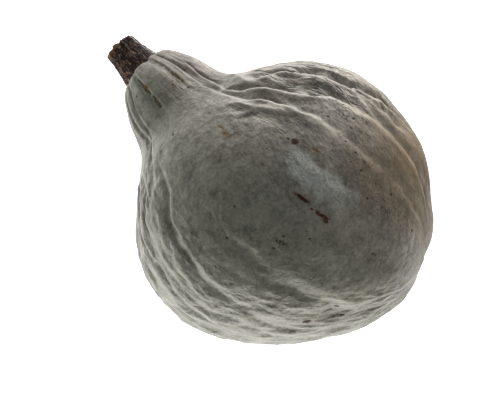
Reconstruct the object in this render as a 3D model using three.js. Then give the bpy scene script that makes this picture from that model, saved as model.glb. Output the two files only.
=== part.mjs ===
// A blue hubbard squash, as picked: the pear-shaped fruit and the corky stem it was cut by.
// Millimetres, +Z up. The squash lies on its side along X, stem towards -X and blossom end
// towards +X, and rests at Z = 0 on the ground spot where its own weight pressed it flat.

import * as THREE from 'three';
import { mergeVertices } from 'three/addons/utils/BufferGeometryUtils.js';

// One round section of a lofted piece: its centre, its radius, and the way its plane faces.
// yaw turns the section's axis from +X towards +Y, and pitch lifts it from level, in degrees.
const section = (x, y, z, radius, yaw, pitch) => ({ x, y, z, radius, yaw, pitch });

// The fruit: a flat seat with a low collar for the stem, a short drooping neck,
// wide shoulders, the round body, and the blossom end, which is turned to one side.
const FRUIT_SECTIONS = [
  section(-125.5, -2.0, 100.8, 0.0, 4, 12),
  section(-125.5, -2.0, 100.8, 12.0, 4, 12),
  section(-125.6, -2.0, 100.8, 19.6, 4, 12),
  section(-127.8, -2.0, 100.3, 21.8, 4, 12),
  section(-128.6, -1.9, 100.2, 24.0, 4, 12),
  section(-126.4, -1.8, 100.8, 28.0, 3, 12),
  section(-119.0, -1.8, 102.4, 33.0, 1, 12),
  section(-106.0, -2.5, 105.2, 39.5, -1, 12),
  section(-89.0, -3.5, 108.5, 45.0, -2, 11),
  section(-77.0, -3.5, 111.0, 50.5, -2, 10),
  section(-66.0, -3.0, 113.0, 62.0, -2, 8.5),
  section(-51.0, -3.0, 115.5, 82.5, -1, 7),
  section(-29.0, -2.5, 118.5, 106.0, 0, 4),
  section(-2.0, -1.5, 121.0, 123.0, 1, 2),
  section(28.0, 0.0, 122.0, 128.5, 3, 0),
  section(55.0, 4.5, 122.0, 124.0, 6, -1),
  section(82.0, 13.5, 121.5, 113.0, 10, -1),
  section(107.0, 25.0, 121.0, 97.0, 15, 0),
  section(129.0, 36.5, 120.5, 75.0, 20, 1),
  section(144.5, 44.5, 120.5, 49.5, 24, 3),
  section(152.0, 49.0, 120.5, 27.0, 26, 4),
  section(154.5, 50.5, 120.5, 10.0, 27, 4),
  section(154.8, 50.6, 120.5, 0.0, 27, 4),
];

// The stem, from the sunken pith of its cut end to the flared base in the fruit's seat.
const STEM_SECTIONS = [
  section(-160.2, -1.2, 94.0, 0.0, -3, 10),
  section(-160.6, -1.2, 94.0, 2.5, -3, 10),
  section(-162.0, -1.2, 93.7, 6.5, -3, 10),
  section(-162.4, -1.3, 93.6, 13.2, -3, 10),
  section(-161.0, -1.4, 93.8, 14.8, -2, 10),
  section(-153.5, -1.6, 95.1, 15.6, 0, 11),
  section(-145.0, -1.9, 96.8, 17.1, 1, 11),
  section(-136.0, -2.1, 98.6, 18.6, 3, 12),
  section(-128.6, -1.9, 100.2, 19.9, 4, 12),
  section(-126.7, -1.9, 100.6, 18.9, 4, 12),
  section(-125.9, -1.9, 100.7, 16.5, 4, 12),
  section(-125.8, -1.9, 100.7, 9.0, 4, 12),
  section(-125.8, -1.9, 100.7, 0.0, 4, 12),
];

// Grooves between the fruit's ribs. The angle is measured round the long axis, in degrees,
// from the top of the fruit towards +Y. Depth is in millimetres.
const groove = (angle, depth) => ({ angle, depth });
const GROOVES = [
  groove(2, 0.4), groove(20, 0.9), groove(34, 1.6), groove(53, 2.4), groove(72, 2.6),
  groove(90, 2.2), groove(108, 2.4), groove(127, 2.2), groove(147, 1.6), groove(166, 0.8),
  groove(185, 0.5), groove(205, 1.2), groove(224, 2.0), groove(243, 2.4), groove(262, 2.2),
  groove(281, 2.4), groove(300, 2.2), groove(320, 2.6), groove(339.5, 2.0),
];
const GROOVE_WIDTH = 4.5; // degrees from a groove's bottom to its shoulder
const GROOVES_START = 35; // section radius below which the grooves fade out
const STEM_FLUTES = 5;
const FLUTE_DEPTH = 0.5;
const GROUND_SOFTNESS = 3; // height over which the flank curves into the ground spot
const FRUIT_SIDES = 90;
const STEM_SIDES = 40;
const RINGS_PER_SECTION = 2;

// A smooth curve through the values of one column of a loft's sections.
function through(sections, key) {
  const points = sections.map((row) => new THREE.Vector3(row[key], 0, 0));
  const curve = new THREE.CatmullRomCurve3(points, false, 'catmullrom');
  return (t) => curve.getPoint(t).x;
}

// Lofts a closed solid through its sections, which run towards +X. relief(angle, radius) is
// added to the radius. The first and last sections have no radius, so each end is one point.
function loft(sections, sides, relief) {
  const column = {};
  for (const key of ['x', 'y', 'z', 'radius', 'yaw', 'pitch']) {
    column[key] = through(sections, key);
  }
  const rings = (sections.length - 1) * RINGS_PER_SECTION;
  const positions = [];
  for (let ring = 0; ring <= rings; ring += 1) {
    const t = ring / rings;
    const centre = new THREE.Vector3(column.x(t), column.y(t), column.z(t));
    const yaw = THREE.MathUtils.degToRad(column.yaw(t));
    const pitch = THREE.MathUtils.degToRad(column.pitch(t));
    const side = new THREE.Vector3(-Math.sin(yaw), Math.cos(yaw), 0);
    const up = new THREE.Vector3(
      -Math.sin(pitch) * Math.cos(yaw),
      -Math.sin(pitch) * Math.sin(yaw),
      Math.cos(pitch),
    );
    const isPole = ring === 0 || ring === rings;
    for (let i = 0; i < sides; i += 1) {
      const angle = (i / sides) * 2 * Math.PI;
      const radius = isPole ? 0 : column.radius(t) + relief(angle, column.radius(t));
      const point = centre.clone();
      point.addScaledVector(up, radius * Math.cos(angle));
      point.addScaledVector(side, radius * Math.sin(angle));
      positions.push(point.x, point.y, point.z);
    }
  }
  const geometry = new THREE.BufferGeometry();
  geometry.setAttribute('position', new THREE.Float32BufferAttribute(positions, 3));
  geometry.setIndex(quadStrip(rings, sides));
  return geometry;
}

// Triangles between neighbouring rings, facing outwards. At a pole each quad is one triangle.
function quadStrip(rings, sides) {
  const index = [];
  for (let ring = 0; ring < rings; ring += 1) {
    for (let i = 0; i < sides; i += 1) {
      const next = (i + 1) % sides;
      const a = ring * sides + i;
      const b = ring * sides + next;
      const c = a + sides;
      const d = b + sides;
      if (ring > 0) index.push(a, d, b);
      if (ring < rings - 1) index.push(a, c, d);
    }
  }
  return index;
}

// How far the fruit's surface stands in or out at an angle, where its section has this radius.
function ribs(angle, radius) {
  const degrees = THREE.MathUtils.radToDeg(angle);
  const strength = THREE.MathUtils.smoothstep(radius, GROOVES_START, 2 * GROOVES_START);
  let relief = 0;
  for (const { angle: bottom, depth } of GROOVES) {
    const away = THREE.MathUtils.euclideanModulo(degrees - bottom + 180, 360) - 180;
    relief -= depth * Math.exp(-((away / GROOVE_WIDTH) ** 2));
  }
  return strength * relief;
}

// The stem's shallow flutes.
function flutes(angle, radius) {
  return (FLUTE_DEPTH * Math.cos(STEM_FLUTES * angle) * radius) / STEM_SECTIONS.at(-5).radius;
}

// Presses what would lie below Z = 0 flat, with a soft curve up to the flank.
function rest(geometry) {
  const position = geometry.getAttribute('position');
  for (let i = 0; i < position.count; i += 1) {
    const z = position.getZ(i);
    if (z < GROUND_SOFTNESS) {
      const above = Math.max(z + GROUND_SOFTNESS, 0);
      position.setZ(i, (above * above) / (4 * GROUND_SOFTNESS));
    }
  }
  return geometry;
}

// One vertex for each point, so that the poles close.
function closed(geometry) {
  const merged = mergeVertices(geometry, 1e-5);
  merged.computeVertexNormals();
  return merged;
}

const rind = new THREE.MeshStandardMaterial({ color: 0x8d9088, roughness: 0.55, metalness: 0 });
const cork = new THREE.MeshStandardMaterial({ color: 0x4a3b33, roughness: 0.9, metalness: 0 });

const fruit = new THREE.Mesh(closed(rest(loft(FRUIT_SECTIONS, FRUIT_SIDES, ribs))), rind);
fruit.name = 'fruit';

const stem = new THREE.Mesh(closed(loft(STEM_SECTIONS, STEM_SIDES, flutes)), cork);
stem.name = 'stem';

const squash = new THREE.Group();
squash.add(fruit, stem);

export default squash;
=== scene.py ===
import math

import bpy
import numpy as np
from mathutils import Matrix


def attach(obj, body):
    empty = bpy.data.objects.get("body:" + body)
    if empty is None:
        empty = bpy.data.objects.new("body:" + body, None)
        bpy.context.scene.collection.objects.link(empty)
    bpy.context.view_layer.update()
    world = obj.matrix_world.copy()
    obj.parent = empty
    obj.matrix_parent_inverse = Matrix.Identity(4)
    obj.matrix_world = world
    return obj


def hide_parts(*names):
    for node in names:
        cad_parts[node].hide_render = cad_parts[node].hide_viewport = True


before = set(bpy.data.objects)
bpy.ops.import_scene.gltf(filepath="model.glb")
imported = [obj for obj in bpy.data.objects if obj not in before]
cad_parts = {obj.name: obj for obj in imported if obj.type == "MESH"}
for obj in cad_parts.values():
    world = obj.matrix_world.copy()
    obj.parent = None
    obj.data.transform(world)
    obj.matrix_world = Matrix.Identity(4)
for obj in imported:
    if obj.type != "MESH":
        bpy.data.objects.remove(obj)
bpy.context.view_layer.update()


# ---------------------------------------------------------------------------
# The fruit: one hard-shelled squash, grown in a single piece, with a short
# neck at the stem, a round belly and a blossom end turned a little to one side.
# Its waxy grey-green rind is drawn into meridian folds and puckered between.
# ---------------------------------------------------------------------------

MM = 0.001
# centre x, y, z, radius (mm), yaw and pitch (degrees) of each round section
FRUIT_SECTIONS = [
    (-125.5, -2.0, 100.8, 0, 4, 12),
    (-125.5, -2.0, 100.8, 12, 4, 12),
    (-125.6, -2.0, 100.8, 19.6, 4, 12),
    (-127.8, -2.0, 100.3, 21.8, 4, 12),
    (-128.6, -1.9, 100.2, 24, 4, 12),
    (-126.4, -1.8, 100.8, 28, 3, 12),
    (-119, -1.8, 102.4, 33, 1, 12),
    (-106, -2.5, 105.2, 39.5, -1, 12),
    (-89, -3.5, 108.5, 45, -2, 11),
    (-77, -3.5, 111, 50.5, -2, 10),
    (-66, -3, 113, 62, -2, 8.5),
    (-51, -3, 115.5, 82.5, -1, 7),
    (-29, -2.5, 118.5, 106, 0, 4),
    (-2, -1.5, 121, 123, 1, 2),
    (28, 0, 122, 128.5, 3, 0),
    (55, 4.5, 122, 124, 6, -1),
    (82, 13.5, 121.5, 113, 10, -1),
    (107, 25, 121, 97, 15, 0),
    (129, 36.5, 120.5, 75, 20, 1),
    (144.5, 44.5, 120.5, 49.5, 24, 3),
    (152, 49, 120.5, 27, 26, 4),
    (154.5, 50.5, 120.5, 10, 27, 4),
    (154.8, 50.6, 120.5, 0, 27, 4),
]
FRUIT_SIDES = 480
FRUIT_RINGS = 204
FRUIT_EVENNESS = 80 * MM  # rings stand closer together where the radius is small beside this


def between(columns, t):
    """The section numbers at t, on a smooth curve through all the sections."""
    padded = np.vstack([2 * columns[0] - columns[1], columns, 2 * columns[-1] - columns[-2]])
    i = np.minimum(t.astype(int), len(columns) - 2)
    u = (t - i)[:, None]
    p0, p1, p2, p3 = (padded[i + k] for k in range(4))
    m1, m2 = (p2 - p0) / 2, (p3 - p1) / 2
    return p1 + m1 * u + (3 * (p2 - p1) - 2 * m1 - m2) * u**2 + (2 * (p1 - p2) + m1 + m2) * u**3


def loft(name, sections, sides, rings, evenness):
    """A closed skin over round sections, with its own chart: along, around, girth and loop."""
    columns = np.array(sections, dtype=float)
    columns[:, :4] *= MM
    columns[:, 4:] = np.radians(columns[:, 4:])
    fine = np.linspace(0, len(columns) - 1, 4000)
    path = between(columns, fine)
    step = np.hypot(np.diff(path[:, 0]), np.diff(path[:, 3]))
    run = np.concatenate([[0], np.cumsum(step / (path[1:, 3] + evenness))])
    t = np.interp(np.linspace(0, run[-1], rings + 2), run, fine)
    rows = between(columns, t)
    rows[[0, -1], 3] = 0
    turn = np.linspace(-math.pi, math.pi, sides, endpoint=False)
    centre, radius, yaw, pitch = rows[:, :3], rows[:, 3], rows[:, 4], rows[:, 5]
    side = np.stack([-np.sin(yaw), np.cos(yaw), 0 * yaw], 1)
    up = np.stack([-np.sin(pitch) * np.cos(yaw), -np.sin(pitch) * np.sin(yaw), np.cos(pitch)], 1)
    spoke = np.cos(turn)[None, :, None] * up[:, None] + np.sin(turn)[None, :, None] * side[:, None]
    grid = centre[:, None] + radius[:, None, None] * spoke
    points = np.vstack([grid[0, :1], grid[1:-1].reshape(-1, 3), grid[-1, :1]])
    last = len(points) - 1
    here = 1 + np.arange(rings - 1)[:, None] * sides + np.arange(sides)
    ahead = 1 + np.arange(rings - 1)[:, None] * sides + (np.arange(sides) + 1) % sides
    quads = np.stack([here, here + sides, ahead + sides, ahead], 2).reshape(-1, 4)
    rim = 1 + (rings - 1) * sides
    faces = quads.tolist()
    faces += [(0, 1 + k, 1 + (k + 1) % sides) for k in range(sides)]
    faces += [(last, rim + (k + 1) % sides, rim + k) for k in range(sides)]
    mesh = bpy.data.meshes.new(name)
    mesh.from_pydata(points.tolist(), [], faces)
    along = np.concatenate([rows[:1, 0], np.repeat(rows[1:-1, 0], sides), rows[-1:, 0]])
    around = np.concatenate([[0], np.tile(turn, rings), [0]])
    girth = np.concatenate([[0], np.repeat(radius[1:-1], sides), [0]])
    for label, values in (("along", along), ("around", around), ("girth", girth)):
        mesh.attributes.new(label, "FLOAT", "POINT").data.foreach_set("value", values)
    loop = np.stack([along, np.sin(around), np.cos(around)], 1)
    mesh.attributes.new("loop", "FLOAT_VECTOR", "POINT").data.foreach_set("vector", loop.ravel())
    mesh.validate()
    made = bpy.data.objects.new(name, mesh)
    bpy.context.scene.collection.objects.link(made)
    return made


class Wire:
    """A socket of a node tree. Sums and products of wires add the Math nodes they need."""

    def __init__(self, tree, socket=None):
        self.tree = tree
        self.socket = socket

    def node(self, kind, settings=None, values=None, out=0):
        """A new node: first its settings, then the values or wires of its sockets."""
        made = self.tree.nodes.new(kind)
        for name, value in (settings or {}).items():
            setattr(made, name, value)
        for name, value in (values or {}).items():
            if isinstance(value, Wire):
                self.tree.links.new(value.socket, made.inputs[name])
            else:
                made.inputs[name].default_value = value
        return Wire(self.tree, made.outputs[out])

    def into(self, node, name):
        """Leads this wire to a socket of a node that is already there."""
        self.tree.links.new(self.socket, node.inputs[name])

    def math(self, operation, *values):
        return self.node("ShaderNodeMath", {"operation": operation}, dict(enumerate(values)))

    def vector(self, operation, *values, out=0):
        return self.node("ShaderNodeVectorMath", {"operation": operation}, dict(enumerate(values)), out)

    def __add__(self, other):
        return self.math("ADD", self, other)

    def __radd__(self, other):
        return self.math("ADD", other, self)

    def __sub__(self, other):
        return self.math("SUBTRACT", self, other)

    def __rsub__(self, other):
        return self.math("SUBTRACT", other, self)

    def __mul__(self, other):
        return self.math("MULTIPLY", self, other)

    def __rmul__(self, other):
        return self.math("MULTIPLY", other, self)

    def __truediv__(self, other):
        return self.math("DIVIDE", self, other)

    def __gt__(self, other):
        return self.math("GREATER_THAN", self, other)

    def __lt__(self, other):
        return self.math("LESS_THAN", self, other)

    def scaled(self, factor):
        """This vector or colour times a number."""
        return self.node("ShaderNodeVectorMath", {"operation": "SCALE"}, {0: self, "Scale": factor})

    def abs(self):
        return self.math("ABSOLUTE", self)

    def max(self, other):
        return self.math("MAXIMUM", self, other)

    def min(self, other):
        return self.math("MINIMUM", self, other)

    def parts(self):
        """The x, y and z of a vector."""
        made = self.node("ShaderNodeSeparateXYZ", {}, {0: self}).socket.node
        return [Wire(self.tree, socket) for socket in made.outputs]

    def ease(self, start, end, low=0.0, high=1.0):
        """Low up to start, high from end on, and a smooth change between."""
        values = {0: self, 1: start, 2: end, 3: low, 4: high}
        return self.node("ShaderNodeMapRange", {"interpolation_type": "SMOOTHSTEP"}, values)

    def bell(self, width):
        """One where the wire is nought, falling away to nothing about two widths off."""
        part = self / width
        return self.math("EXPONENT", part * part * -1)

    def blend(self, first, second, kind="MIX"):
        """The first colour where this wire is nought and the second where it is one."""
        settings = {"data_type": "RGBA", "blend_type": kind}
        return self.node("ShaderNodeMix", settings, {0: self, 6: first, 7: second}, 2)

    def noise(self, where, stretch, seed, detail=2.0, rough=0.5, out=0):
        """Even noise from 0 to 1, with the place stretched first."""
        place = self.vector("MULTIPLY", where, stretch)
        values = {"Vector": place, "W": seed, "Scale": 1.0, "Detail": detail, "Roughness": rough}
        return self.node("ShaderNodeTexNoise", {"noise_dimensions": "4D"}, values, out)

    def ridge(self):
        """Sharp crests where this noise crosses its middle, and hollows between them."""
        return 1 - (self - 0.5).abs() * 4


# Grooves of the rind, and where the depth is below nought, creases that stand up. Each has
# its width in degrees on the lower and on the higher side, and the places it runs through:
# mm along the fruit, degrees around it from the top, mm deep.
GROOVES = [
    # neck
    (6, 3, [(-126, 21, 0.8), (-112, 22, 0.8), (-95, 22, 0.6), (-78, 22, 0.4), (-60, 22, 0)]),
    (6, 2, [(-126, -14, 0.6), (-112, -14.5, 1.4), (-100, -13.5, 1.4), (-82, -14, 0.9), (-62, -16, 0)]),
    # flank turned to +Y
    (2, 3, [(10, 18.5, 0), (30, 18.5, 0.6), (70, 18.5, 0.6), (85, 18, 0)]),
    (2.2, 6, [(-126, 36, 0.9), (-110, 38, 1.6), (-84, 37.5, 1.3), (-72, 33, 1.5), (-60, 28.5, 2),
              (-45, 27, 2.4), (-28, 30, 3.4), (0, 32.5, 2), (20, 33.5, 1), (60, 34.5, 0.8),
              (130, 32, 0.7), (150, 31.5, 0)]),
    (2.2, 7, [(-126, 55, 1.0), (-110, 53, 2.1), (-100, 50.5, 1.8), (-80, 47, 2), (-70, 42, 2.9),
              (-60, 35, 3), (-50, 34.5, 3.5), (-40, 39, 4.3), (-20, 41, 4.6), (-8, 42.5, 4.2),
              (5, 47, 3.3), (20, 48, 2.8), (40, 51, 2), (60, 52.5, 1.6), (100, 52.5, 1.3),
              (130, 50, 1.4), (150, 49, 0)]),
    (1.2, 1.6, [(-34, 51.5, 0), (-24, 53, 1.9), (-10, 54.5, 2.2), (5, 56.5, 1.9), (22, 58.5, 1.6),
              (34, 60, 0)]),
    (2, 4, [(40, 60.5, 0), (48, 61.5, 2.2), (66, 62, 2.2), (80, 63.5, 0)]),
    (3, 3.5, [(-58, 46, 0), (-46, 49, 3.7), (-36, 56, 4.4), (-20, 58.5, 5.4), (0, 59.5, 5.4),
              (12, 63.5, 5), (40, 68, 4.4), (60, 72, 3.6), (90, 74, 2.8), (120, 69, 2),
              (145, 65, 0)]),
    (4, 2.5, [(-74, 63, 0), (-69, 56, -0.6), (-64, 50, -1.4), (-60, 46.5, -1.8), (-52, 41, -1.4),
            (-46, 40, 0)]),
    (3, 4, [(-122, 72, 0), (-110, 74, 1.4), (-80, 66, 1.4), (-64, 60, 0)]),
    (4, 4, [(-105, 92, 0), (-60, 92, 2.3), (130, 90, 2.3), (152, 90, 0)]),
    # puckers on the shoulder
    (1.6, 1.2, [(-46, 8, 0), (-40, 12.5, -1.1), (-35, 15, -0.7), (-31, 17, 0)]),
    (1.8, 1.3, [(-46, 18, 0), (-40, 20.5, -1), (-30, 22.5, -1.4), (-20, 24.5, -1.4), (-12, 25.5, -1.1),
              (-5, 26, 0)]),
    (1.6, 1.2, [(-34, 15, 0), (-30, 18.5, -1.3), (-26, 22, -1), (-21, 23.5, 0)]),
    (1.8, 1.3, [(-44, 24, 0), (-34, 25.5, -0.8), (-20, 28, -1.4), (0, 30, -1.3), (14, 31, -0.8),
              (24, 31, 0)]),
    (1.6, 1.2, [(-2, 25.5, 0), (6, 27.5, -0.8), (13, 28.5, 0)]),
    # flank turned to -Y
    (5.5, 1.1, [(-11, -19.5, 0), (-2, -20.5, 0.5), (12, -21, 0.8), (32, -21, 0.7), (48, -21.5, 0)]),
    (6, 4, [(24, -21.5, 0), (45, -23, 1.6), (60, -25, 2), (80, -28, 2.2), (92, -30, 2.3),
            (102, -33, 2.6), (112, -37, 2.8), (124, -41, 2), (150, -47, 0)]),
    (4.5, 2, [(-126, -37.5, 0.8), (-112, -41, 1.8), (-100, -44.5, 1.7), (-88, -43.5, 1.5),
              (-78, -41, 1), (-62, -39, 0)]),
    (3, 1.6, [(-60, -31.5, 0), (-48, -32, 0.7), (-40, -32, 1.4), (-31, -32.5, 2.1), (-24, -36, 2.8),
              (-10, -38, 3), (5, -39.5, 2.8), (20, -41.5, 2.5), (40, -42, 2.5), (56, -44, 2.1),
              (66, -46.5, 1.8), (78, -50.5, 2.1), (100, -54, 2.1), (120, -58, 1.1), (145, -61, 0)]),
    (3.5, 3, [(-126, -57, 0.8), (-110, -58.5, 1.7), (-96, -58.5, 1.7), (-88, -55.5, 1.7),
              (-78, -49.5, 2.2), (-70, -44.5, 2.3), (-60, -41.5, 2.5), (-50, -40.5, 2.3),
              (-42, -40, 1.1), (-34, -40, 0)]),
    (2, 1.5, [(-8, -46, 0), (4, -46.5, 1.4), (14, -48.5, 1.4), (24, -49.5, 1.4), (36, -50, 0.7),
              (48, -49, 0)]),
    (3, 1.8, [(-62, -56, 0), (-52, -52.5, 1.7), (-46, -50, 2.8), (-40, -51.5, 3), (-33, -54, 3.2),
              (-26, -55, 2.8), (-16, -55, 1.4), (0, -52.5, 1.6), (20, -53, 1.6), (32, -53.5, 1.8),
              (42, -55, 2.1), (52, -54.5, 1.8), (60, -52.5, 2.1), (70, -55, 1.8), (80, -59, 2.3),
              (100, -63, 1.4), (130, -68, 0)]),
    (3, 2, [(-64, -62, 0), (-44, -61.5, 3), (-36, -64, 1.7), (-26, -64.5, 2.3), (-20, -64, 2.8),
              (-12, -61.5, 1.8), (0, -57.5, 1.8), (10, -58, 2.1), (20, -59.5, 2.5), (40, -61.5, 2.3),
              (52, -64, 1.8), (66, -66, 1.6), (90, -66, 1.4), (140, -72, 0)]),
    (3.5, 2.5, [(-70, -71, 0), (-24, -71, 2.3), (10, -67, 2.1), (36, -71, 2.5), (50, -69, 2.1),
              (70, -69, 2.3), (100, -73, 1.7), (145, -79, 0)]),
    # under side
    (4, 3, [(-118, -76, 0), (-100, -76, 1.6), (-60, -80, 2.3), (0, -79, 2.3), (80, -80, 2.3),
              (150, -82, 0)]),
    (4, 4, [(-118, -100, 0), (-80, -97, 2.5), (0, -99, 2.5), (110, -97, 2.1), (150, -98, 0)]),
    (4, 4, [(-105, -117, 0), (-60, -115, 2.8), (30, -118, 2.8), (110, -116, 2.1), (150, -117, 0)]),
    (4, 4, [(-122, -136, 0), (-80, -134, 2.1), (0, -137, 2.3), (110, -135, 1.8), (150, -136, 0)]),
    (4, 4, [(-90, -155, 0), (-40, -154, 1.4), (60, -156, 1.4), (150, -155, 0)]),
    (4, 4, [(-110, -175, 0), (-60, -175, 0.7), (110, -175, 0.6), (150, -175, 0)]),
    (4, 4, [(-105, 166, 0), (-60, 165, 1), (60, 167, 0.9), (150, 166, 0)]),
    (4, 4, [(-122, 147, 0), (-80, 146, 1.8), (0, 148, 2.1), (110, 146, 1.6), (150, 147, 0)]),
    (4, 4, [(-95, 127, 0), (-50, 126, 2.5), (40, 128, 2.5), (110, 126, 2.1), (150, 127, 0)]),
    (4, 4, [(-118, 108, 0), (-80, 106, 2.5), (0, 109, 2.8), (110, 107, 2.1), (150, 108, 0)]),
]
# Broad swellings and hollows: mm high, mm along, degrees around, mm long, degrees wide.
SWELLINGS = [
    (2.4, -36, 72, 20, 15),
    (1.2, 112, 62, 30, 14),
    (-3, 30, 92, 34, 16),
    (1.6, 120, 92, 26, 20),
    (1.2, -92, 88, 20, 24),
    (-1.6, 122, -90, 16, 16),
    (1.6, 62, -90, 26, 16),
    (1.2, -98, 70, 16, 16),
    (1.5, 80, -70, 14, 10),
    (-2.8, 128, -52, 22, 20),
    (-2.2, 109, -40, 10, 6),
    (2.4, 151, 78, 6, 34),
    (1.2, 150, -72, 4, 20),
    (-1.4, 141, -88, 6, 14),
]
REACH = 120 * MM  # radius on which the patterns that run round the fruit are drawn
DEGREE = 180 / math.pi
CURVE_UNIT = 200  # mm or degrees to one unit of a float curve


def course(along, places, column):
    """A number that changes smoothly from place to place along the piece."""
    made = along.node("ShaderNodeFloatCurve", {}, {"Value": along / (CURVE_UNIT * MM)})
    mapping = made.socket.node.mapping
    mapping.use_clip = False
    mapping.extend = "HORIZONTAL"
    ends = [places[0], places[-1]]
    for point, place in zip(mapping.curves[0].points, ends):
        point.location = (place[0] / CURVE_UNIT, place[column] / CURVE_UNIT)
    for place in places[1:-1]:
        mapping.curves[0].points.new(place[0] / CURVE_UNIT, place[column] / CURVE_UNIT)
    for point in mapping.curves[0].points:
        point.handle_type = "AUTO_CLAMPED"
    mapping.update()
    return made * CURVE_UNIT


def turned(around, angle):
    """Degrees between this way round the fruit and another, both given in degrees."""
    off = around - angle
    return off.math("WRAP", off, 180.0, -180.0)


def grain(length, width, reach=REACH):
    """How much to stretch the loop for a pattern that long and that wide, in mm."""
    return (1 / (length * MM), reach / (width * MM), reach / (width * MM))


def even(size):
    """How much to stretch a place for a pattern of one size all ways, in mm."""
    return (1 / (size * MM),) * 3


def named(pen, label, kind="FLOAT"):
    """A number or vector that the mesh keeps at its points."""
    return pen.node("GeometryNodeInputNamedAttribute", {"data_type": kind}, {"Name": label})


def kept(ink, label, out=2):
    """The same in a material: a number, or with out at 1 a vector."""
    return ink.node("ShaderNodeAttribute", {"attribute_name": label}, {}, out)


def relief_tree(name, sizes):
    """An empty Geometry Nodes tree with its mesh, material and named sizes as inputs."""
    tree = bpy.data.node_groups.new(name, "GeometryNodeTree")
    tree.interface.new_socket("Mesh", in_out="INPUT", socket_type="NodeSocketGeometry")
    tree.interface.new_socket("Material", in_out="INPUT", socket_type="NodeSocketMaterial")
    for label in sizes:
        tree.interface.new_socket(label, in_out="INPUT", socket_type="NodeSocketFloat")
    tree.interface.new_socket("Mesh", in_out="OUTPUT", socket_type="NodeSocketGeometry")
    entry = tree.nodes.new("NodeGroupInput")
    return tree, {socket.name: Wire(tree, socket) for socket in entry.outputs if socket.name}


def raised(mesh, lift):
    """The mesh with every point moved outward by the lift, which is kept as an attribute."""
    normal = mesh.node("GeometryNodeInputNormal")
    moved = mesh.node("GeometryNodeSetPosition", {}, {"Geometry": mesh, "Offset": normal.scaled(lift)})
    return stored(moved, "lift", lift)


def stored(mesh, label, value):
    """The mesh with one number kept at each of its points, for the material to read."""
    settings = {"data_type": "FLOAT", "domain": "POINT"}
    values = {"Geometry": mesh, "Name": label, "Value": value}
    return mesh.node("GeometryNodeStoreNamedAttribute", settings, values)


def finish_tree(tree, wires, mesh):
    """Ends a tree: smooth shading, instances made real, and the material on every face."""
    smooth = mesh.node("GeometryNodeSetShadeSmooth", {}, {"Geometry": mesh})
    real = smooth.node("GeometryNodeRealizeInstances", {}, {"Geometry": smooth})
    done = real.node("GeometryNodeSetMaterial", {}, {"Geometry": real, "Material": wires["Material"]})
    done.into(tree.nodes.new("NodeGroupOutput"), 0)


def grown(blank, tree, values, material):
    """The blank with the tree applied, as a plain mesh in a new object of the same name."""
    modifier = blank.modifiers.new("growth", "NODES")
    modifier.node_group = tree
    for item in tree.interface.items_tree:
        if item.item_type == "SOCKET" and item.in_out == "INPUT":
            if item.name == "Material":
                modifier[item.identifier] = material
            elif item.name in values:
                modifier[item.identifier] = values[item.name]
    evaluated = blank.evaluated_get(bpy.context.evaluated_depsgraph_get())
    mesh = bpy.data.meshes.new_from_object(evaluated)
    name = blank.name
    blank.modifiers.remove(modifier)
    bpy.data.objects.remove(blank)
    mesh.name = name
    made = bpy.data.objects.new(name, mesh)
    bpy.context.scene.collection.objects.link(made)
    return made


# Where the wrinkled skin starts: mm along, and degrees from the top toward +Y and toward -Y.
WRINKLED = [
    (-90, 75, 46),
    (-66, 62, 26),
    (-44, 38, 23),
    (-20, 36, 24),
    (30, 42, 24),
    (60, 52, 24),
    (100, 62, 22),
    (140, 40, 16),
]

rind_sizes = {
    "Groove depth": 1.3,
    "Belly share": 0.6,
    "Lip": 0.2,
    "Crack": 0.3,
    "Swell": 1.8 * MM,
    "Knob": 3.0 * MM,
    "Pucker": 1.8 * MM,
    "Crease": 0.8 * MM,
    "Fold": 3.1 * MM,
    "Strand": 0.35 * MM,
    "Dimple": 0.5 * MM,
    "Ground": 3 * MM,
    "Seed": 4.0,
}
tree, size = relief_tree("rind relief", rind_sizes)
pen = size["Mesh"]
along = named(pen, "along")
around = named(pen, "around") * DEGREE
girth = named(pen, "girth")
loop = named(pen, "loop", "FLOAT_VECTOR")
seed = size["Seed"]

hidden = around.abs().ease(75.0, 110.0, 0.25, 1.0)
wander = pen.noise(loop, grain(45, 60), seed, 1.0) - 0.5
wiggle = pen.noise(loop, grain(14, 22), seed + 1, 2.0) - 0.5
jag = pen.noise(loop, grain(5, 9), seed + 11, 1.0) - 0.5
drift = wander * hidden * 9.0 + wiggle * 4.0 + jag * 1.6
uneven = pen.noise(loop, grain(22, 15), seed + 2, 1.0).ease(0.25, 0.75, 0.5, 1.4)
belly = size["Belly share"] * along.ease(-20 * MM, 45 * MM, 1.2, 0.95)
furrow = 0.0
crest = 0.0  # the sharp edges beside the grooves, which the material paints paler as a painted highlight
for low, high, places in GROOVES:
    off = turned(around, course(along, places, 1) - drift)
    middle = places[len(places) // 2][1]
    flank = 15 < abs(middle) < 75  # in full view from above, and sharp at its edges
    depth = course(along, places, 2) * (belly if flank and middle < 0 else 1.0)
    width = (off > 0) * (high - low) + low
    furrow = off.bell(width) * depth + furrow
    if flank:
        near = low if middle > 0 else high
        less, least = (0.5, 0.5) if middle > 0 else (-0.5, 1.0)
        narrow = (off > 0) * (near * less) + near * least
        furrow = furrow + off.bell(narrow) * depth * size["Crack"]
        beside = off + math.copysign(near, middle)
        top = beside + math.copysign(near, middle)
        lip = size["Lip"] if middle > 0 else size["Lip"] * 0.4
        furrow = furrow - top.bell(near * 0.8) * depth * lip
        crest = (beside.bell(near * 0.8) * depth * (0.4 if middle > 0 else 0.25)).max(crest)
lift = furrow * size["Groove depth"] * uneven * -MM
for height, x, angle, length, width in SWELLINGS:
    swelling = (along - x * MM).bell(length * MM) * turned(around, angle).bell(width)
    lift = swelling * (height * MM) + lift

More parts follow.
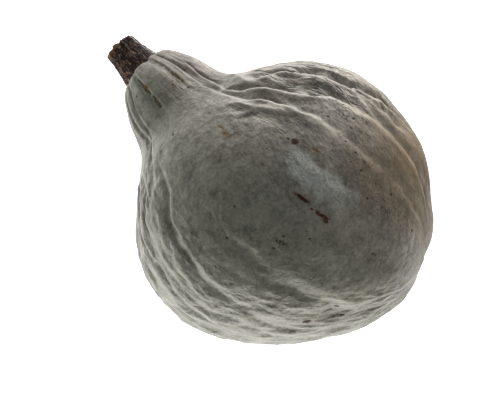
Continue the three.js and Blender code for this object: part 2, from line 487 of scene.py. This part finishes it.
keel = around.abs().ease(145.0, 178.0)
upper = (around - course(along, WRINKLED, 1)).ease(-4.0, 12.0) * (1 - keel)
under = (around * -1 - course(along, WRINKLED, 2)).ease(-4.0, 14.0).max(keel)
shoulder = (along + 24 * MM).bell(32 * MM) * turned(around, 19.0).bell(13.0) * 0.7
smooth = (along + 62 * MM).bell(22 * MM) * turned(around, 90.0).bell(28.0) * 0.9
neck = along.ease(-96 * MM, -62 * MM, 0.12, 1.0) * (1 - smooth)
crumpled = upper * along.ease(30 * MM, 85 * MM, 0.9, 0.25)
rough = (crumpled * 1.5).max(under).max(shoulder) * neck

spot = pen.node("GeometryNodeInputPosition")
bend = pen.noise(spot, even(22), seed + 3, 1.0, out=1)
shifted = bend.vector("MULTIPLY_ADD", bend, (12 * MM, 12 * MM, 12 * MM), spot)
curled = bend.vector("MULTIPLY_ADD", bend, (10 * MM, 0.08, 0.08), loop)
knobs = pen.noise(shifted, even(19), seed + 7, 1.0) - 0.5
puckers = pen.noise(shifted, even(8), seed + 5, 2.0, 0.55) - 0.5
creases = pen.noise(curled, grain(20, 9), seed + 8, 1.0).ridge() - 0.5
strands = pen.noise(curled, grain(30, 5), seed + 4, 1.0).ridge() - 0.5
cells = shifted.vector("MULTIPLY", shifted, even(11))
values = {"Vector": cells, "Scale": 1.0, "Smoothness": 0.5}
domes = pen.node("ShaderNodeTexVoronoi", {"feature": "SMOOTH_F1"}, values)
swell = pen.noise(loop, grain(75, 60), seed + 6, 1.0) - 0.5
folds = pen.noise(curled, grain(54, 9), seed + 9, 2.0, 0.45).ridge() - 0.6
pleats = pen.noise(curled, grain(32, 7.5), seed + 10, 1.0).ridge() - 0.5
limb = under * (along + 22 * MM).bell(50 * MM) * (1 - keel)
grit = strands * size["Strand"] + puckers * size["Pucker"]
grit = grit + creases * size["Crease"] + knobs * size["Knob"]
grit = grit * (1 - crumpled * 0.75) + folds * crumpled * size["Fold"]
grit = grit + pleats * limb * (size["Fold"] * 0.3)
lift = lift + rough * grit * girth.ease(15 * MM, 70 * MM, 0.25, 1.0).max(along < 0)
lift = lift + swell * size["Swell"] * 2 - domes * domes * size["Dimple"]
scar = girth.ease(2 * MM, 17 * MM, 1.0, 0.0) * along.ease(100 * MM, 110 * MM)
lift = lift * girth.ease(2 * MM, 26 * MM) - scar * (3.0 * MM)

lifted = raised(size["Mesh"], lift)
x, y, z = pen.node("GeometryNodeInputPosition").parts()
soft = size["Ground"]
low = (z + soft).max(0.0)
rested = z + (low * low / (soft * 4) - z) * (z < soft)
seat = pen.node("ShaderNodeCombineXYZ", {}, {0: x, 1: y, 2: rested})
rest = pen.node("GeometryNodeSetPosition", {}, {"Geometry": lifted, "Position": seat})
finish_tree(tree, size, stored(stored(rest, "crinkle", rough), "crest", crest))

# Marks on the rind: mm along, degrees around from the top, mm from the middle to an end,
# and mm from the middle to a side where that differs.
SCARS = [(39.5, 5.2, 5.4, 1.3), (59.5, 4.2, 5.6, 1.3), (63.5, 3.1, 2.4, 1.5), (50, 4.2, 1.0, 0.8)]
ROTS = [
    (9, 19, 2.8, 2.4),
    (4.5, 18.4, 1.1, 0.9),
    (97, -45.2, 2.2, 2.0),
    (101, -53.2, 2.0, 1.6),
    (109, -35.5, 1.2, 1.0),
    (116, -43.5, 1.2, 1.0),
]
RUSTS = [(-29, 5.5, 3.0, 2.0), (-33.5, 6.6, 3.2, 1.0), (24, 21.8, 3.0, 1.6)]
PITS = [
    (30, 42.2, 1.3),
    (14, 35.8, 1.0),
    (37, 31.8, 0.9),
    (49, 30.8, 1.1),
    (62, 26.5, 1.0),
    (20, -22, 1.1),
    (27, -33.2, 0.9),
    (47, -9, 1.1),
    (47, -14.5, 1.0),
    (10, -11.8, 0.9),
    (62, -5.2, 0.9),
    (110, -2.2, 1.2),
    (81, 18.8, 1.1),
    (98, 26.3, 1.2),
    (132, 18.8, 1.0),
    (-58, -15.2, 1.0),
    (-82, 21, 1.1),
    (-109, -30.2, 1.0),
]
SMEARS = [
    (22, 40.8, 6.5, 2.4),
    (39, 45.6, 5.2, 1.7),
    (34, 38.5, 3.2, 1.3),
    (48, -11.5, 4, 1.6),
    (62, 30.4, 4, 1.6),
    (-110, 23.8, 9, 0.9),
    (-98, 22.5, 7, 3.2),
    (-90, 23.2, 2.4, 1.4),
    (-93, 13.9, 4, 2.4),
]
FRECKLED = [(58, 28.5, 10, 7), (43, 40, 6, 5), (76, 24, 14, 6), (105, 20, 20, 8)]
# The split in the neck: mm along, degrees around, degrees from its middle to its edge.
NECK_CRACK = [
    (-120, -15.5, 0.8),
    (-112, -14.2, 2.2),
    (-105, -13, 3.6),
    (-101, -12.6, 1.4),
    (-91, -12.3, 2.3),
    (-81, -12.9, 1.2),
]

rind = bpy.data.materials.new("waxy rind")
rind.use_nodes = True
shell = rind.node_tree.nodes["Principled BSDF"]
shell.inputs["Specular IOR Level"].default_value = 0.6
ink = Wire(rind.node_tree)
place = ink.node("ShaderNodeTexCoord", {}, {}, 3)
loop = kept(ink, "loop", 1)
lift = kept(ink, "lift")
crinkle = kept(ink, "crinkle")
girth = kept(ink, "girth")
crest = kept(ink, "crest")
along, across, over = loop.parts()
around = across.math("ARCTAN2", across, over) * DEGREE
height = place.parts()[2]
ragged = ink.noise(place, even(2.2), 11.0, 2.0, 0.6) - 0.5


def mark(spots, soft=0.35, grow=1.0):
    """One on every spot of a list and nought elsewhere, with a ragged edge."""
    cover = 0.0
    columns = np.array(FRUIT_SECTIONS)
    for x, angle, length, *rest in spots:
        width = rest[0] if rest else length
        radius = np.interp(x, columns[2:, 0], columns[2:, 3])
        down = (along - x * MM) / (length * grow * MM)
        aside = turned(around, angle) * (radius / DEGREE / width / grow)
        blunt = 4 if length > 2 * width else 2
        down = down.math("POWER", down.abs(), blunt)
        aside = aside.math("POWER", aside.abs(), blunt)
        off = down.math("POWER", down + aside, 1 / blunt)
        cover = (off + ragged * 1.2).ease(1 - soft, 1 + soft, 1.0, 0.0).max(cover)
    return cover


cool = ink.noise(place, even(16), 1.0, 5.0, 0.75)
broad = ink.noise(place, even(48), 2.0, 2.0, 0.5)
veins = ink.noise(place, even(3.2), 3.0, 1.0, 0.5).ridge().max(0.0)
specks = ink.noise(place, even(2.6), 15.0, 3.0, 0.7)
mesh_cells = ink.noise(place, even(12), 16.0, 1.0, 0.5, 1)
netted = mesh_cells.vector("MULTIPLY_ADD", place, even(9), mesh_cells)
values = {"Vector": netted, "Scale": 1.0}
seams = ink.node("ShaderNodeTexVoronoi", {"feature": "DISTANCE_TO_EDGE"}, values)
net = seams.ease(0.02, 0.12, 1.0, 0.0) * ink.noise(place, even(20), 17.0, 2.0).ease(0.45, 0.6)
tone = (cool - 0.5) * 2.5 + (broad - 0.5) * 0.5 + (specks - 0.5) * 1.4
tone = tone + veins * 0.1 + net * 0.12 + along.ease(-118 * MM, -86 * MM, 1.06, 0.93)
upper = turned(around, 100).abs().ease(60.0, 125.0, 1.0, 0.0)
grey = upper.blend((0.304, 0.298, 0.236, 1), (0.304, 0.268, 0.228, 1))
colour = grey.scaled(tone)

# tan showing through on the side turned to +X and +Y, most of all along the crests
fanned = girth.ease(10 * MM, 65 * MM)
facing = turned(around, 85).abs().ease(51.0, 83.0, 1.0, 0.0)
sunned = along.ease(5 * MM, 95 * MM) * (facing * fanned + (1 - fanned) * 0.5)
ribs = crest.ease(0.15, 0.7) + lift.ease(-0.4 * MM, 1.2 * MM, 0.0, 0.5)
streaks = ink.noise(loop, grain(34, 7), 4.0, 1.5, 0.5).ease(0.35, 0.65, 0.5, 1.0)
tanned = sunned * (ribs.min(1.0) * streaks * fanned + (1 - fanned) * 0.35)
tan = (tanned * 0.95).blend(colour, (0.30, 0.18, 0.065, 1))
colour = (sunned * 0.9).blend(tan, (0.80, 0.69, 0.51, 1), "MULTIPLY")

# painted shade darkening the crook where the neck runs into the shoulder
crook_shade = (along + 70 * MM).bell(24 * MM) * turned(around, 26.0).bell(30.0)
colour = (crook_shade * 0.9).blend(colour, (0.60, 0.60, 0.60, 1), "MULTIPLY")

# pale bloom rubbed into patches near the top, with a painted sheen: its pale swirls stand in for a soft
# reflection of overhead light
patch = (along - 40 * MM).bell(38 * MM) * turned(around, 14.0).bell(7.5)
scrub = ink.noise(place, even(15), 5.0, 4.0, 0.62) - 0.5
bent = ink.noise(place, even(9), 18.0, 1.0, 0.5, 1)
bent = bent.vector("MULTIPLY_ADD", bent, (6 * MM, 6 * MM, 6 * MM), place)
swirls = ink.noise(bent, even(5), 6.0, 1.0, 0.5).ridge().ease(0.2, 0.95)
bloom_and_sheen = (patch + scrub * 2.6).ease(0.40, 0.95) * (swirls * 0.55 + 0.5)
cells = place.vector("MULTIPLY", place, even(9))
blots = ink.node("ShaderNodeTexVoronoi", {}, {"Vector": cells, "Scale": 1.0})
chosen = Wire(rind.node_tree, blots.socket.node.outputs[1]).parts()[0] > 0.45
blots = (blots + ragged * 0.3).ease(0.12, 0.3, 1.0, 0.0) * chosen * (1 - sunned)
colour = (bloom_and_sheen * 0.85).blend(colour, (0.56, 0.57, 0.52, 1))
# painted highlight: the crests painted paler and greyer, away from the sunned side
waxy_sheen = crest.ease(0.3, 1.0) * (1 - sunned) * ragged.ease(-0.2, 0.15, 0.3, 1.0)
colour = (waxy_sheen * 0.4).blend(colour, (0.44, 0.43, 0.38, 1))
colour = (blots * 0.5).blend(colour, (0.46, 0.45, 0.38, 1))

# painted shade in the hollows, dull green; cream where it lay on the ground
hollow_shade = lift.ease(-3.2 * MM, -0.8 * MM, 1.0, 0.0)
colour = (hollow_shade * 0.45).blend(colour, (0.80, 0.86, 0.84, 1), "MULTIPLY")
laid = (height + (broad - 0.5) * 0.06).ease(8 * MM, 42 * MM, 1.0, 0.0)
colour = (laid * 0.7).blend(colour, (0.47, 0.40, 0.24, 1))

# small dark dots everywhere, then the marks of this fruit
cells = place.vector("MULTIPLY", place, even(13))
dots = ink.node("ShaderNodeTexVoronoi", {}, {"Vector": cells, "Scale": 1.0})
picked = Wire(rind.node_tree, dots.socket.node.outputs[1]).parts()[1] > 0.55
pricks = dots.ease(0.045, 0.085, 1.0, 0.0) * picked
split = turned(around, course(along, NECK_CRACK, 1))
crack = (split + ragged * 3).bell(course(along, NECK_CRACK, 2))
beside = (split - 3.2).bell(1.3) * along.ease(-122 * MM, -116 * MM)
beside = beside * along.ease(-80 * MM, -66 * MM, 1.0, 0.0)
colour = (beside * 0.5).blend(colour, (0.52, 0.51, 0.46, 1))
crack = crack * along.ease(-121 * MM, -118 * MM) * along.ease(-84 * MM, -79 * MM, 1.0, 0.0)
crack = (crack * ink.noise(place, even(4), 12.0, 1.0).ease(0.30, 0.46)).ease(0.15, 0.55)
fresh = along.ease(-104 * MM, -98 * MM, 1.0, 0.5)
speckle = ink.noise(place, even(2.1), 7.0, 1.0)
smears = mark(SMEARS, 0.7) * speckle.ease(0.42, 0.52)
freckles = mark(FRECKLED, 0.8) * speckle.ease(0.57, 0.64)
pits = mark(PITS, 0.45)
rots = mark(ROTS)
rusts = mark(RUSTS, 0.6) * speckle.ease(0.34, 0.52)
scars = mark(SCARS, 0.25)
rims = mark(SCARS + ROTS, 0.4, 1.4) * ink.noise(place, even(5), 13.0, 1.0).ease(0.35, 0.6, 0.25, 1.0)
fresh = fresh * speckle.ease(0.42, 0.56, 0.0, 1.0)
burnt = fresh.blend((0.035, 0.022, 0.002, 1), (0.18, 0.10, 0.003, 1))
colour = (crack * 0.95).blend(colour, burnt)
stain = along.ease(-80 * MM, -20 * MM).blend((0.10, 0.06, 0.005, 1), (0.028, 0.018, 0.006, 1))
colour = (smears * 0.9).blend(colour, stain)
colour = (freckles * 0.85).blend(colour, (0.10, 0.05, 0.03, 1))
colour = (pricks * 0.8).blend(colour, (0.07, 0.052, 0.035, 1))
colour = (pits * 0.9).blend(colour, (0.07, 0.058, 0.045, 1))
colour = (rusts * 0.95).blend(colour, (0.22, 0.115, 0.0, 1))
colour = (rims * 0.8).blend(colour, (0.18, 0.08, 0.01, 1))
colour = (rots * 0.95).blend(colour, (0.04, 0.019, 0.002, 1))
flesh = (ragged + broad - 0.5).ease(-0.1, 0.2) * along.ease(50 * MM, 58 * MM)
colour = (scars * 0.95).blend(colour, flesh.blend((0.03, 0.012, 0.004, 1), (0.15, 0.065, 0.006, 1)))
# a painted highlight on the rim of the seat round the stem
edge = along.ease(-127.6 * MM, -125.8 * MM, 1.0, 0.0) * ragged.ease(-0.2, 0.1, 0.0, 1.0)
colour = (edge * 0.5).blend(colour, (0.53, 0.53, 0.48, 1))
tip = girth.ease(3 * MM, 8 * MM, 1.0, 0.0) * along.ease(100 * MM, 110 * MM)
colour = (tip * 0.8).blend(colour, (0.17, 0.12, 0.07, 1))
colour.into(shell, "Base Color")

sound = crinkle.ease(0.0, 1.5, 0.44, 0.34) + sunned * 0.2
dull = (bloom_and_sheen * 0.16 + sound).max(pits.max(rots).max(scars).max(rusts).max(crack) * 0.8)
dull.into(shell, "Roughness")

# height of the finest relief: wrinkles along the fruit, pores, scratches and sunken marks
wrinkle = ink.noise(bent, even(6), 8.0, 2.0, 0.5).ridge()
pulled = ink.noise(loop, grain(20, 16), 19.0, 1.0, 0.5, 1)
pulled = pulled.vector("MULTIPLY_ADD", pulled, (12 * MM, 0.1, 0.1), loop)
crimp = ink.noise(pulled, grain(20, 4.5), 20.0, 2.0, 0.5).ridge()
side = turned(around, 95).abs().ease(70.0, 100.0, 1.0, 0.0)
crimp = crimp * side.ease(0.0, 1.0, 0.12, 0.7) * (1 - sunned * 0.6)
wrinkle = wrinkle * side.ease(0.0, 1.0, 0.32, 0.3) + crimp
stripe = ink.noise(loop, grain(24, 1.8), 14.0, 1.0) - 0.5
pore = ink.noise(place, even(1.6), 9.0, 2.0, 0.65) - 0.5
lumps = ink.noise(place, even(7), 10.0, 2.0, 0.5) - 0.5
fine = wrinkle * crinkle.ease(0.0, 1.5, 0.10, 0.9) * MM + pore * (0.18 * MM) + lumps * (1.3 * MM)
fine = fine * (1 - sunned * 0.5)
fine = fine + veins * (0.06 * MM) + swirls * bloom_and_sheen * (0.2 * MM)
fine = fine + stripe * along.ease(-88 * MM, -60 * MM, 0.45, 0.1) * MM
fine = fine * girth.ease(12 * MM, 75 * MM, 0.15, 1.0).max(along < 0)
sunk = scars.max(rots).max(pits) * (0.5 * MM) + pricks * (0.25 * MM)
bump = ink.node("ShaderNodeBump", {}, {"Strength": 1.0, "Distance": 1.0, "Height": fine - sunk})
bump.into(shell, "Normal")

blank = loft("squash_rind", FRUIT_SECTIONS, FRUIT_SIDES, FRUIT_RINGS, FRUIT_EVENNESS)
fruit = grown(blank, tree, rind_sizes, rind)
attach(fruit, "root")
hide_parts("fruit")


# ---------------------------------------------------------------------------
# The stem: the dry, woody stalk that the fruit hung by, cut off with a knife.
# Its corky skin is split into fibres that run along it, and the cut is ragged.
# ---------------------------------------------------------------------------

STEM_SECTIONS = [
    (-160.2, -1.2, 94, 0, -3, 10),
    (-160.6, -1.2, 94, 2.5, -3, 10),
    (-162, -1.2, 93.7, 6.5, -3, 10),
    (-162.4, -1.3, 93.6, 13.2, -3, 10),
    (-161, -1.4, 93.8, 14.8, -2, 10),
    (-153.5, -1.6, 95.1, 15.6, 0, 11),
    (-145, -1.9, 96.8, 17.1, 1, 11),
    (-136, -2.1, 98.6, 19, 3, 12),
    (-128.6, -1.9, 100.2, 20.9, 4, 12),
    (-126.7, -1.8, 100.6, 19.9, 4, 12),
    (-125.9, -1.8, 100.7, 17.5, 4, 12),
    (-125.8, -1.8, 100.7, 9, 4, 12),
    (-125.8, -1.8, 100.7, 0, 4, 12),
]
STEM_SIDES = 220
STEM_RINGS = 160
STEM_EVENNESS = 10 * MM
STEM_REACH = 15 * MM  # as REACH, for the stem
stem_sizes = {"Flute": 1.6 * MM, "Fibre": 0.8 * MM, "Splinter": 1.4 * MM, "Rag": 2.4 * MM, "Seed": 21.0}
tree, size = relief_tree("stem relief", stem_sizes)
pen = size["Mesh"]
along = named(pen, "along")
girth = named(pen, "girth")
loop = named(pen, "loop", "FLOAT_VECTOR")
seed = size["Seed"]
sway = pen.noise(loop, grain(20, 14, STEM_REACH), seed, 1.0, out=1)
swayed = sway.vector("MULTIPLY_ADD", sway, (3 * MM, 0.35, 0.35), loop)
flutes = pen.noise(swayed, grain(90, 9, STEM_REACH), seed + 1, 1.0).ridge()
fibres = pen.noise(swayed, grain(11, 2.6, STEM_REACH), seed + 2, 2.0, 0.6).ridge()
splinters = pen.noise(swayed, grain(4, 1.8, STEM_REACH), seed + 3, 2.0, 0.6) - 0.5
side_wall = girth.ease(6 * MM, 12 * MM)
lift = (flutes - 1) * size["Flute"] + (fibres - 1) * size["Fibre"] + splinters * size["Splinter"]
lift = lift * side_wall * along.ease(-127 * MM, -133 * MM, 0.4, 1.0)
lifted = raised(size["Mesh"], lift)
cut = along.ease(-159.3 * MM, -161.3 * MM)
steps = pen.noise(loop, grain(60, 5, STEM_REACH), seed + 4, 2.0, 0.6) - 0.5
chips = pen.noise(pen.node("GeometryNodeInputPosition"), even(2.2), seed + 5, 2.0, 0.6) - 0.5
back = cut * (steps * 1.6 + chips * 0.8 + 0.35) * size["Rag"]
torn = pen.node("ShaderNodeCombineXYZ", {}, {0: back})
worn = pen.node("GeometryNodeSetPosition", {}, {"Geometry": lifted, "Offset": torn})
finish_tree(tree, size, worn)

cork = bpy.data.materials.new("corky stem")
cork.use_nodes = True
bark = cork.node_tree.nodes["Principled BSDF"]
ink = Wire(cork.node_tree)
place = ink.node("ShaderNodeTexCoord", {}, {}, 3)
loop = kept(ink, "loop", 1)
girth = kept(ink, "girth")
along, across, over = loop.parts()
around = across.math("ARCTAN2", across, over) * DEGREE
sway = ink.noise(loop, grain(20, 14, STEM_REACH), 31.0, 1.0, out=1)
swayed = sway.vector("MULTIPLY_ADD", sway, (3 * MM, 0.4, 0.4), loop)
grain_dark = ink.noise(swayed, grain(9, 3.2, STEM_REACH), 32.0, 3.0, 0.7)
strand = ink.noise(swayed, grain(4, 1.3, STEM_REACH), 33.0, 2.0, 0.6)
dusk = (place.parts()[1] + (grain_dark - 0.5) * 0.02).ease(-10 * MM, 12 * MM)
wood = dusk.blend((0.085, 0.048, 0.034, 1), (0.030, 0.021, 0.023, 1))
wood = grain_dark.ease(0.42, 0.62).blend(wood, (0.022, 0.016, 0.018, 1))
pale = strand.ease(0.54, 0.61) * dusk.ease(0.0, 1.0, 1.0, 0.4)
wood = pale.blend(wood, (0.42, 0.26, 0.16, 1))
# a pale sliver along the stem's upper side toward +Y: partly pale skin, partly a painted highlight
pale_sliver_and_highlight = turned(around, 66).bell(7.0) * strand.ease(0.40, 0.52) * grain_dark.ease(0.40, 0.54)
wood = (pale_sliver_and_highlight * 0.9).blend(wood, (0.68, 0.66, 0.67, 1))
face = girth.ease(12.2 * MM, 13.8 * MM, 1.0, 0.0) * along.ease(-158 * MM, -160 * MM)
lip = along.ease(-156.5 * MM, -159.5 * MM) * dusk.ease(0.0, 0.8, 1.0, 0.1)
pith = ink.noise(place, even(2.5), 34.0, 2.0, 0.6).blend((0.30, 0.20, 0.12, 1), (0.16, 0.10, 0.065, 1))
wood = (lip * 0.7).blend(wood, (0.33, 0.185, 0.075, 1))
wood = (face * 0.85).blend(wood, pith)
wood.into(bark, "Base Color")
bark.inputs["Roughness"].default_value = 0.8
bark.inputs["Specular IOR Level"].default_value = 0.3
threads = (strand - 0.5) * (1.2 * MM) + (grain_dark - 0.5) * (1.2 * MM)
bump = ink.node("ShaderNodeBump", {}, {"Strength": 1.0, "Distance": 1.0, "Height": threads})
bump.into(bark, "Normal")

blank = loft("cut_stem", STEM_SECTIONS, STEM_SIDES, STEM_RINGS, STEM_EVENNESS)
stem = grown(blank, tree, stem_sizes, cork)
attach(stem, "root")
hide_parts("stem")


# ---------------------------------------------------------------------------
# The studio: a light table seen from straight above, and a dim room round it.
# ---------------------------------------------------------------------------

CAMERA_HEIGHT = 1.302  # m
CAMERA_TURN = 45  # degrees, so that the stem points up and to the left

camera_data = bpy.data.cameras.new("camera")
camera_data.lens = 100
camera_data.sensor_width = 36
camera = bpy.data.objects.new("camera", camera_data)
camera.location = (13 * MM, -15.5 * MM, CAMERA_HEIGHT)
camera.rotation_euler = (0, 0, math.radians(CAMERA_TURN))
bpy.context.scene.collection.objects.link(camera)
bpy.context.scene.camera = camera

bpy.ops.mesh.primitive_plane_add(size=40, location=(0, 0, 0))
floor = bpy.context.object
floor.name = "light_table"
opal = bpy.data.materials.new("opal glass")
opal.use_nodes = True
sheet = opal.node_tree.nodes["Principled BSDF"]
sheet.inputs["Base Color"].default_value = (0.8, 0.8, 0.8, 1)
sheet.inputs["Roughness"].default_value = 0.9
glass = Wire(opal.node_tree)
spot = glass.node("ShaderNodeTexCoord", {}, {}, 3)
reach = glass.vector("LENGTH", glass.vector("SUBTRACT", spot, (28 * MM, 0, 0)), out=1)


def side_of(angle):
    """How far a place on the table lies toward an angle, from -1 to 1."""
    way = (math.cos(math.radians(angle)), math.sin(math.radians(angle)), 0)
    return glass.vector("DOT_PRODUCT", spot, way, out=1) / (reach + 0.001)


# the table glows only weakly right under the fruit, which shows as a painted contact shadow where it
# rests, and glows brighter near it than far off
glow_and_contact_shadow = reach.ease(0.10, 0.14, 0.3, 1.0) * reach.ease(0.4, 1.6, 1.75, 1.0)
aim = (side_of(-38) * 1.2 + 0.81).max(side_of(110).ease(0.32, 0.95) * 3.4).max(0.3)
dim = 1 - side_of(38).ease(0.36, 0.9) * reach.ease(0.26, 0.45) * 0.9
far = reach.ease(0.30, 0.42)
strength = glow_and_contact_shadow * ((aim - 1) * far + 1) * dim
warm = far.blend((1, 1, 1, 1), (1, 0.985, 0.93, 1))
warm = (side_of(40).ease(0.2, 0.85) * far).blend(warm, (1, 0.90, 0.73, 1))
warm.scaled(strength).into(sheet, "Emission Color")
sheet.inputs["Emission Strength"].default_value = 1.0
floor.data.materials.append(opal)

world = bpy.data.worlds.new("room")
bpy.context.scene.world = world
world.use_nodes = True
air = Wire(world.node_tree)
for old in list(world.node_tree.nodes):
    world.node_tree.nodes.remove(old)
facing = air.node("ShaderNodeTexCoord", {}, {}, 0)


def glow(direction, strength, narrow):
    """Soft light from one side of the room, low down, fading away round it and overhead."""
    toward = facing.vector("DOT_PRODUCT", facing, direction, out=1).max(0.0)
    return toward.math("POWER", toward, narrow) * strength


light = glow((-0.08, 0.99, 0.03), 4.2, 30.0) + glow((0, 0.82, 0.57), 0.25, 3.0)
light = light + glow((-0.45, -0.88, 0.08), 0.5, 8.0) + 0.125
tone = air.node("ShaderNodeBackground", {}, {"Color": (0.95, 0.98, 1.0, 1), "Strength": light})
white = air.node("ShaderNodeBackground", {}, {"Color": (1, 1, 1, 1), "Strength": 1.0})
seen = air.node("ShaderNodeLightPath", {}, {}, 0)
both = air.node("ShaderNodeMixShader", {}, {0: seen, 1: tone, 2: white})
both.into(world.node_tree.nodes.new("ShaderNodeOutputWorld"), 0)

bpy.context.scene.view_settings.view_transform = "Standard"
